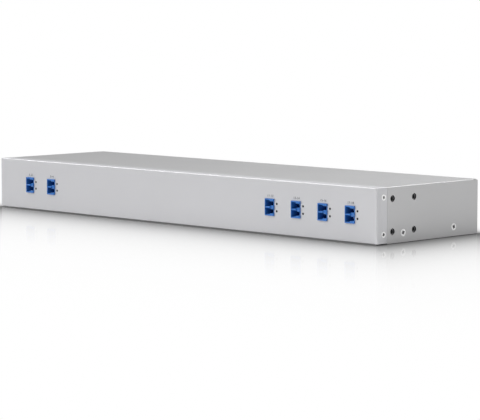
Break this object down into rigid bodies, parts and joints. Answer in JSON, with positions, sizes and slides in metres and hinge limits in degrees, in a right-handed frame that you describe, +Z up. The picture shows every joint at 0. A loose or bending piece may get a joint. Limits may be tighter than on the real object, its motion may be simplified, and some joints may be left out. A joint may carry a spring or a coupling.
{
  "type": "coarse wavelength division multiplexer",
  "caption": "Low grey rack box that joins and splits fibre wavelengths, with blue duplex adapters along its front and threaded holes for rack ears on its sides.",
  "frame": {"origin": "middle of the base, at mid width and half-way between the front panel's face and the rear", "axes": "+X along the front to the right as seen from the front, +Y to the rear, +Z up"},
  "size_m": [0.44, 0.1213, 0.043],
  "materials": {
    "panel_paint": "satin grey paint",
    "cover_paint": "satin grey paint",
    "tray_zinc": "zinc-plated sheet",
    "screw_steel": "bright zinc",
    "nut_steel": "zinc-plated",
    "adapter_blue": "moulded, satin",
    "clip_steel": "spring strip",
    "sleeve_ceramic": "ground",
    "plug_blue": "moulded, satin",
    "ferrule_ceramic": "polished",
    "cord_yellow": "soft jacket",
    "cassette_plastic": "moulded",
    "lid_plastic": "moulded",
    "filter_tube": "fine drawn",
    "post_brass": "turned",
    "comb_plastic": "moulded"
  },
  "bodies": {
    "root": {"adapter_clip_1": "clip_steel", "adapter_clip_2": "clip_steel", "adapter_clip_3": "clip_steel", "adapter_clip_4": "clip_steel", "adapter_clip_5": "clip_steel", "adapter_clip_6": "clip_steel", "alignment_sleeves_1": "sleeve_ceramic", "alignment_sleeves_2": "sleeve_ceramic", "alignment_sleeves_3": "sleeve_ceramic", "alignment_sleeves_4": "sleeve_ceramic", "alignment_sleeves_5": "sleeve_ceramic", "alignment_sleeves_6": "sleeve_ceramic", "base_tray": "tray_zinc", "cassette_lid": "lid_plastic", "cassette_posts": "post_brass", "cover_screws": "screw_steel", "duplex_plug_1": "plug_blue", "duplex_plug_2": "plug_blue", "duplex_plug_3": "plug_blue", "duplex_plug_4": "plug_blue", "duplex_plug_5": "plug_blue", "duplex_plug_6": "plug_blue", "ear_nuts": "nut_steel", "ferrules_1": "ferrule_ceramic", "ferrules_2": "ferrule_ceramic", "ferrules_3": "ferrule_ceramic", "ferrules_4": "ferrule_ceramic", "ferrules_5": "ferrule_ceramic", "ferrules_6": "ferrule_ceramic", "filter_cassette": "cassette_plastic", "front_panel": "panel_paint", "joining_filters": "filter_tube", "lc_adapter_1": "adapter_blue", "lc_adapter_2": "adapter_blue", "lc_adapter_3": "adapter_blue", "lc_adapter_4": "adapter_blue", "lc_adapter_5": "adapter_blue", "lc_adapter_6": "adapter_blue", "left_cord_comb": "comb_plastic", "panel_brackets": "tray_zinc", "panel_screws": "screw_steel", "pigtail_cord_1": "cord_yellow", "pigtail_cord_2": "cord_yellow", "pigtail_cord_3": "cord_yellow", "pigtail_cord_4": "cord_yellow", "pigtail_cord_5": "cord_yellow", "pigtail_cord_6": "cord_yellow", "right_cord_comb": "comb_plastic", "sleeve_holders_1": "adapter_blue", "sleeve_holders_2": "adapter_blue", "sleeve_holders_3": "adapter_blue", "sleeve_holders_4": "adapter_blue", "sleeve_holders_5": "adapter_blue", "sleeve_holders_6": "adapter_blue", "splitting_filters": "filter_tube", "top_cover": "cover_paint"}
  },
  "joints": []
}
